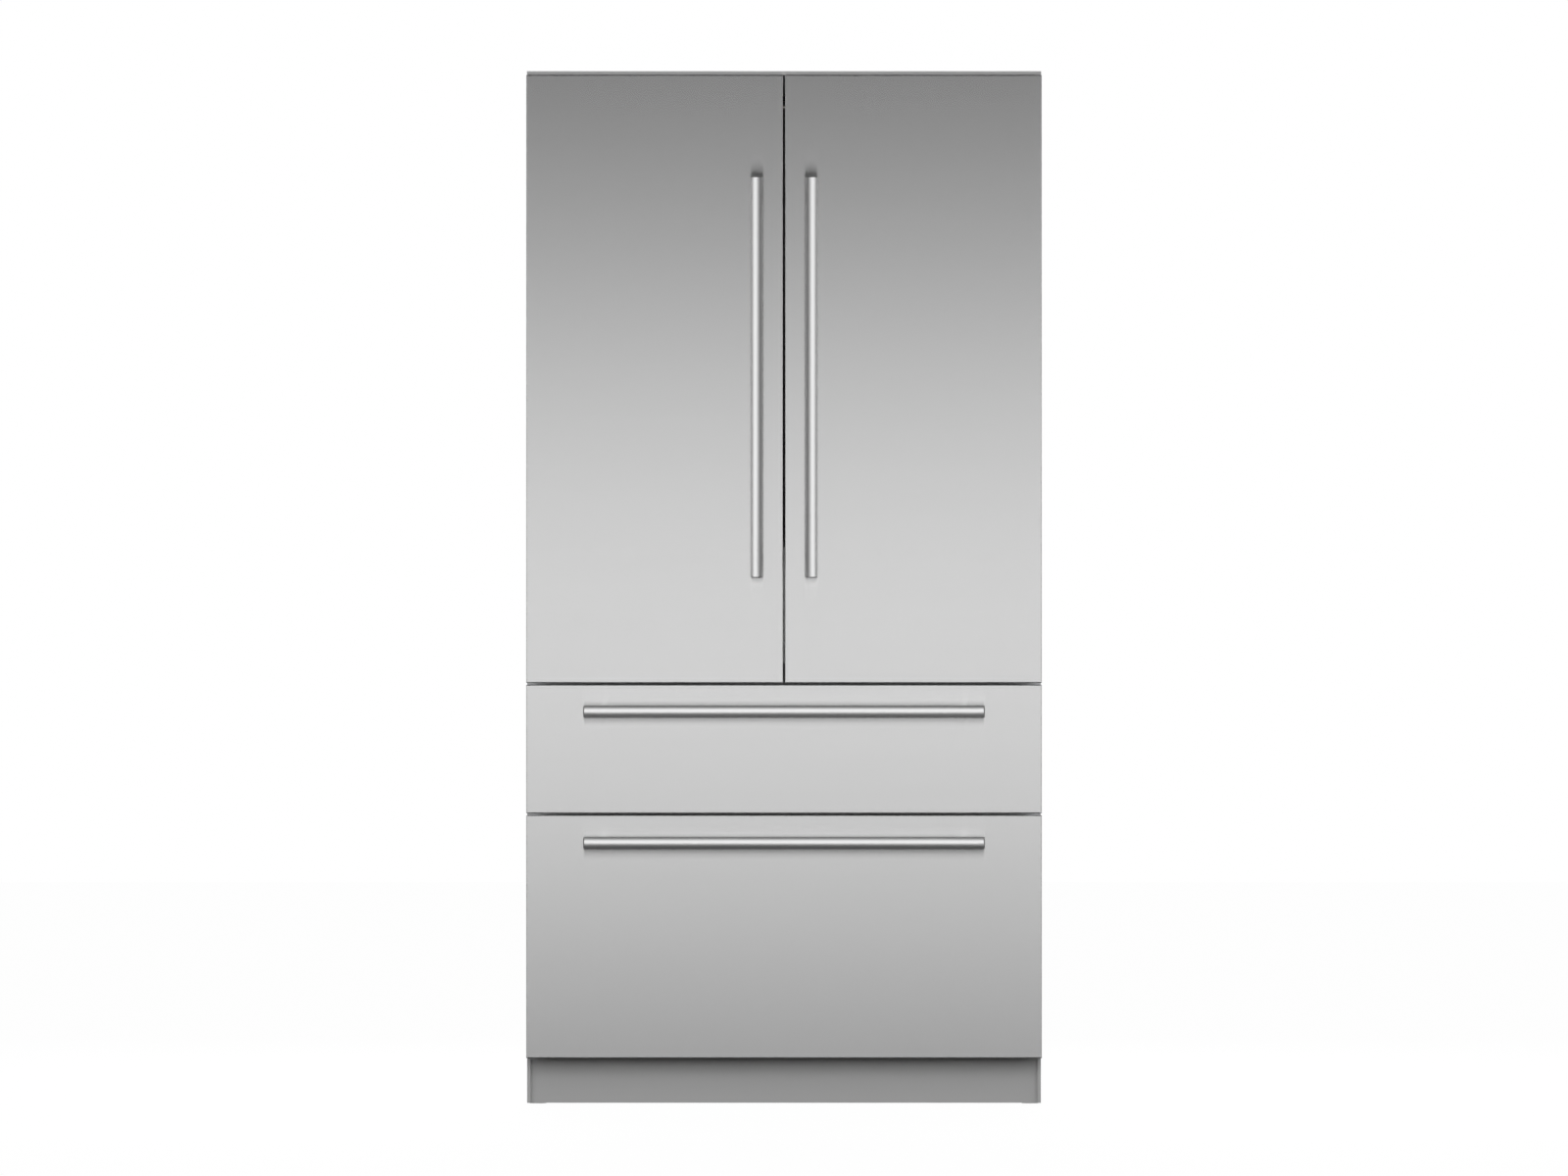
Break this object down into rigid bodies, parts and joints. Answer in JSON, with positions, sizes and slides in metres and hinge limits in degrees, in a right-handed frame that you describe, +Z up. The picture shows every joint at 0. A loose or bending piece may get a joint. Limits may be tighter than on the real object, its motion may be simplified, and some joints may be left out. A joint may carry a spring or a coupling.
{
  "type": "built-in french-door refrigerator with bottom freezer drawers",
  "caption": "Tall built-in refrigerator with a pair of side-hinged doors over stacked freezer drawers, round bar handles and a recessed toe kick.",
  "frame": {"origin": "on the floor, at the middle of the overall width and depth", "axes": "+Z up, the doors and drawers face -Y, +X to the right seen from the front"},
  "size_m": [1.06, 0.673, 2.126],
  "materials": {
    "panel_steel": "horizontally brushed stainless, satin",
    "handle_steel": "fine satin bar",
    "trim_steel": "brushed",
    "carcass_grey": "satin grey coat",
    "frame_grey": "satin light grey coat",
    "liner_white": "gloss white",
    "door_liner_white": "gloss white",
    "foam": "cut foam",
    "gasket_rubber": "matt grey",
    "clear_bin": "clear moulded",
    "drawer_bin": "gloss white",
    "shelf_glass": "clear",
    "zinc_steel": "zinc plated",
    "hinge_steel": "satin",
    "duct_grey": "satin light grey",
    "control_black": "gloss black",
    "compressor_black": "satin black",
    "coil_metal": "bare",
    "fan_plastic": "moulded black",
    "base_metal": "satin dark coat",
    "foot_plastic": "moulded black"
  },
  "bodies": {
    "cabinet": {"cabinet_shell": "carcass_grey", "insulation": "foam", "fridge_floor": "foam", "drawer_divider": "foam", "freezer_floor": "foam", "fridge_liner": "liner_white", "upper_drawer_liner": "liner_white", "lower_drawer_liner": "liner_white", "face_frame": "frame_grey", "rear_cover": "zinc_steel", "top_trim": "trim_steel", "base_frame": "base_metal", "levelling_feet": "foot_plastic", "toe_kick": "trim_steel", "compressor": "compressor_black", "condenser_shroud": "base_metal", "condenser": "coil_metal", "evaporator": "coil_metal", "shelf_lower": "shelf_glass", "shelf_upper": "shelf_glass", "crisper_cover": "shelf_glass", "air_duct": "duct_grey", "control_panel": "control_black", "top_hinges": "hinge_steel", "bottom_hinges": "hinge_steel", "upper_slide_outers": "zinc_steel", "lower_slide_outers": "zinc_steel"},
    "left_door": {"left_panel": "panel_steel", "left_core": "door_liner_white", "left_gasket": "gasket_rubber", "left_rack_lower": "clear_bin", "left_rack_middle": "clear_bin", "left_rack_upper": "clear_bin", "left_handle": "handle_steel"},
    "right_door": {"right_panel": "panel_steel", "right_core": "door_liner_white", "right_gasket": "gasket_rubber", "right_rack_lower": "clear_bin", "right_rack_middle": "clear_bin", "right_rack_upper": "clear_bin", "right_handle": "handle_steel"},
    "mullion": {"mullion_flap": "frame_grey"},
    "upper_drawer": {"upper_panel": "panel_steel", "upper_core": "door_liner_white", "upper_gasket": "gasket_rubber", "upper_bin": "drawer_bin", "upper_slide_inners": "zinc_steel", "upper_handle": "handle_steel"},
    "upper_slide": {"upper_slide_mids": "zinc_steel"},
    "lower_drawer": {"lower_panel": "panel_steel", "lower_core": "door_liner_white", "lower_gasket": "gasket_rubber", "lower_bin": "drawer_bin", "lower_slide_inners": "zinc_steel", "lower_handle": "handle_steel"},
    "lower_slide": {"lower_slide_mids": "zinc_steel"},
    "left_crisper": {"crisper_left": "clear_bin"},
    "right_crisper": {"crisper_right": "clear_bin"},
    "condenser_blades": {"condenser_fan": "fan_plastic"},
    "evaporator_blades": {"evaporator_fan": "fan_plastic"}
  },
  "joints": [
    {"name": "left_door_hinge", "type": "hinge", "parent": "cabinet", "child": "left_door", "pos_m": [-0.518, -0.2435, 1.4924], "axis": [0, 0, -1], "range_deg": [0, 110]},
    {"name": "right_door_hinge", "type": "hinge", "parent": "cabinet", "child": "right_door", "pos_m": [0.518, -0.2435, 1.4924], "axis": [0, 0, 1], "range_deg": [0, 110]},
    {"name": "mullion_fold", "type": "hinge", "parent": "left_door", "child": "mullion", "pos_m": [-0.03, -0.1905, 1.4924], "axis": [0, 0, -1], "range_deg": [0, 90]},
    {"name": "upper_drawer_slide", "type": "slide", "parent": "cabinet", "child": "upper_drawer", "axis": [0, -1, 0], "range_m": [0, 0.42]},
    {"name": "upper_slide_run", "type": "slide", "parent": "cabinet", "child": "upper_slide", "axis": [0, -1, 0], "range_m": [0, 0.21]},
    {"name": "lower_drawer_slide", "type": "slide", "parent": "cabinet", "child": "lower_drawer", "axis": [0, -1, 0], "range_m": [0, 0.42]},
    {"name": "lower_slide_run", "type": "slide", "parent": "cabinet", "child": "lower_slide", "axis": [0, -1, 0], "range_m": [0, 0.21]},
    {"name": "left_crisper_slide", "type": "slide", "parent": "cabinet", "child": "left_crisper", "axis": [0, -1, 0], "range_m": [0, 0.211]},
    {"name": "right_crisper_slide", "type": "slide", "parent": "cabinet", "child": "right_crisper", "axis": [0, -1, 0], "range_m": [0, 0.211]},
    {"name": "condenser_fan_spin", "type": "hinge", "parent": "cabinet", "child": "condenser_blades", "pos_m": [-0.073, 0.23275, 0.097], "axis": [1, 0, 0], "continuous": true},
    {"name": "evaporator_fan_spin", "type": "hinge", "parent": "cabinet", "child": "evaporator_blades", "pos_m": [0, 0.212, 1.1334], "axis": [0, 1, 0], "continuous": true}
  ],
  "couplings": [
    {"joint": "upper_slide_run", "follows": "upper_drawer_slide", "ratio": 0.5},
    {"joint": "lower_slide_run", "follows": "lower_drawer_slide", "ratio": 0.5},
    {"joint": "left_crisper_slide", "follows": "left_door_hinge", "m_per_rad": 0.1099},
    {"joint": "right_crisper_slide", "follows": "right_door_hinge", "m_per_rad": 0.1099}
  ]
}
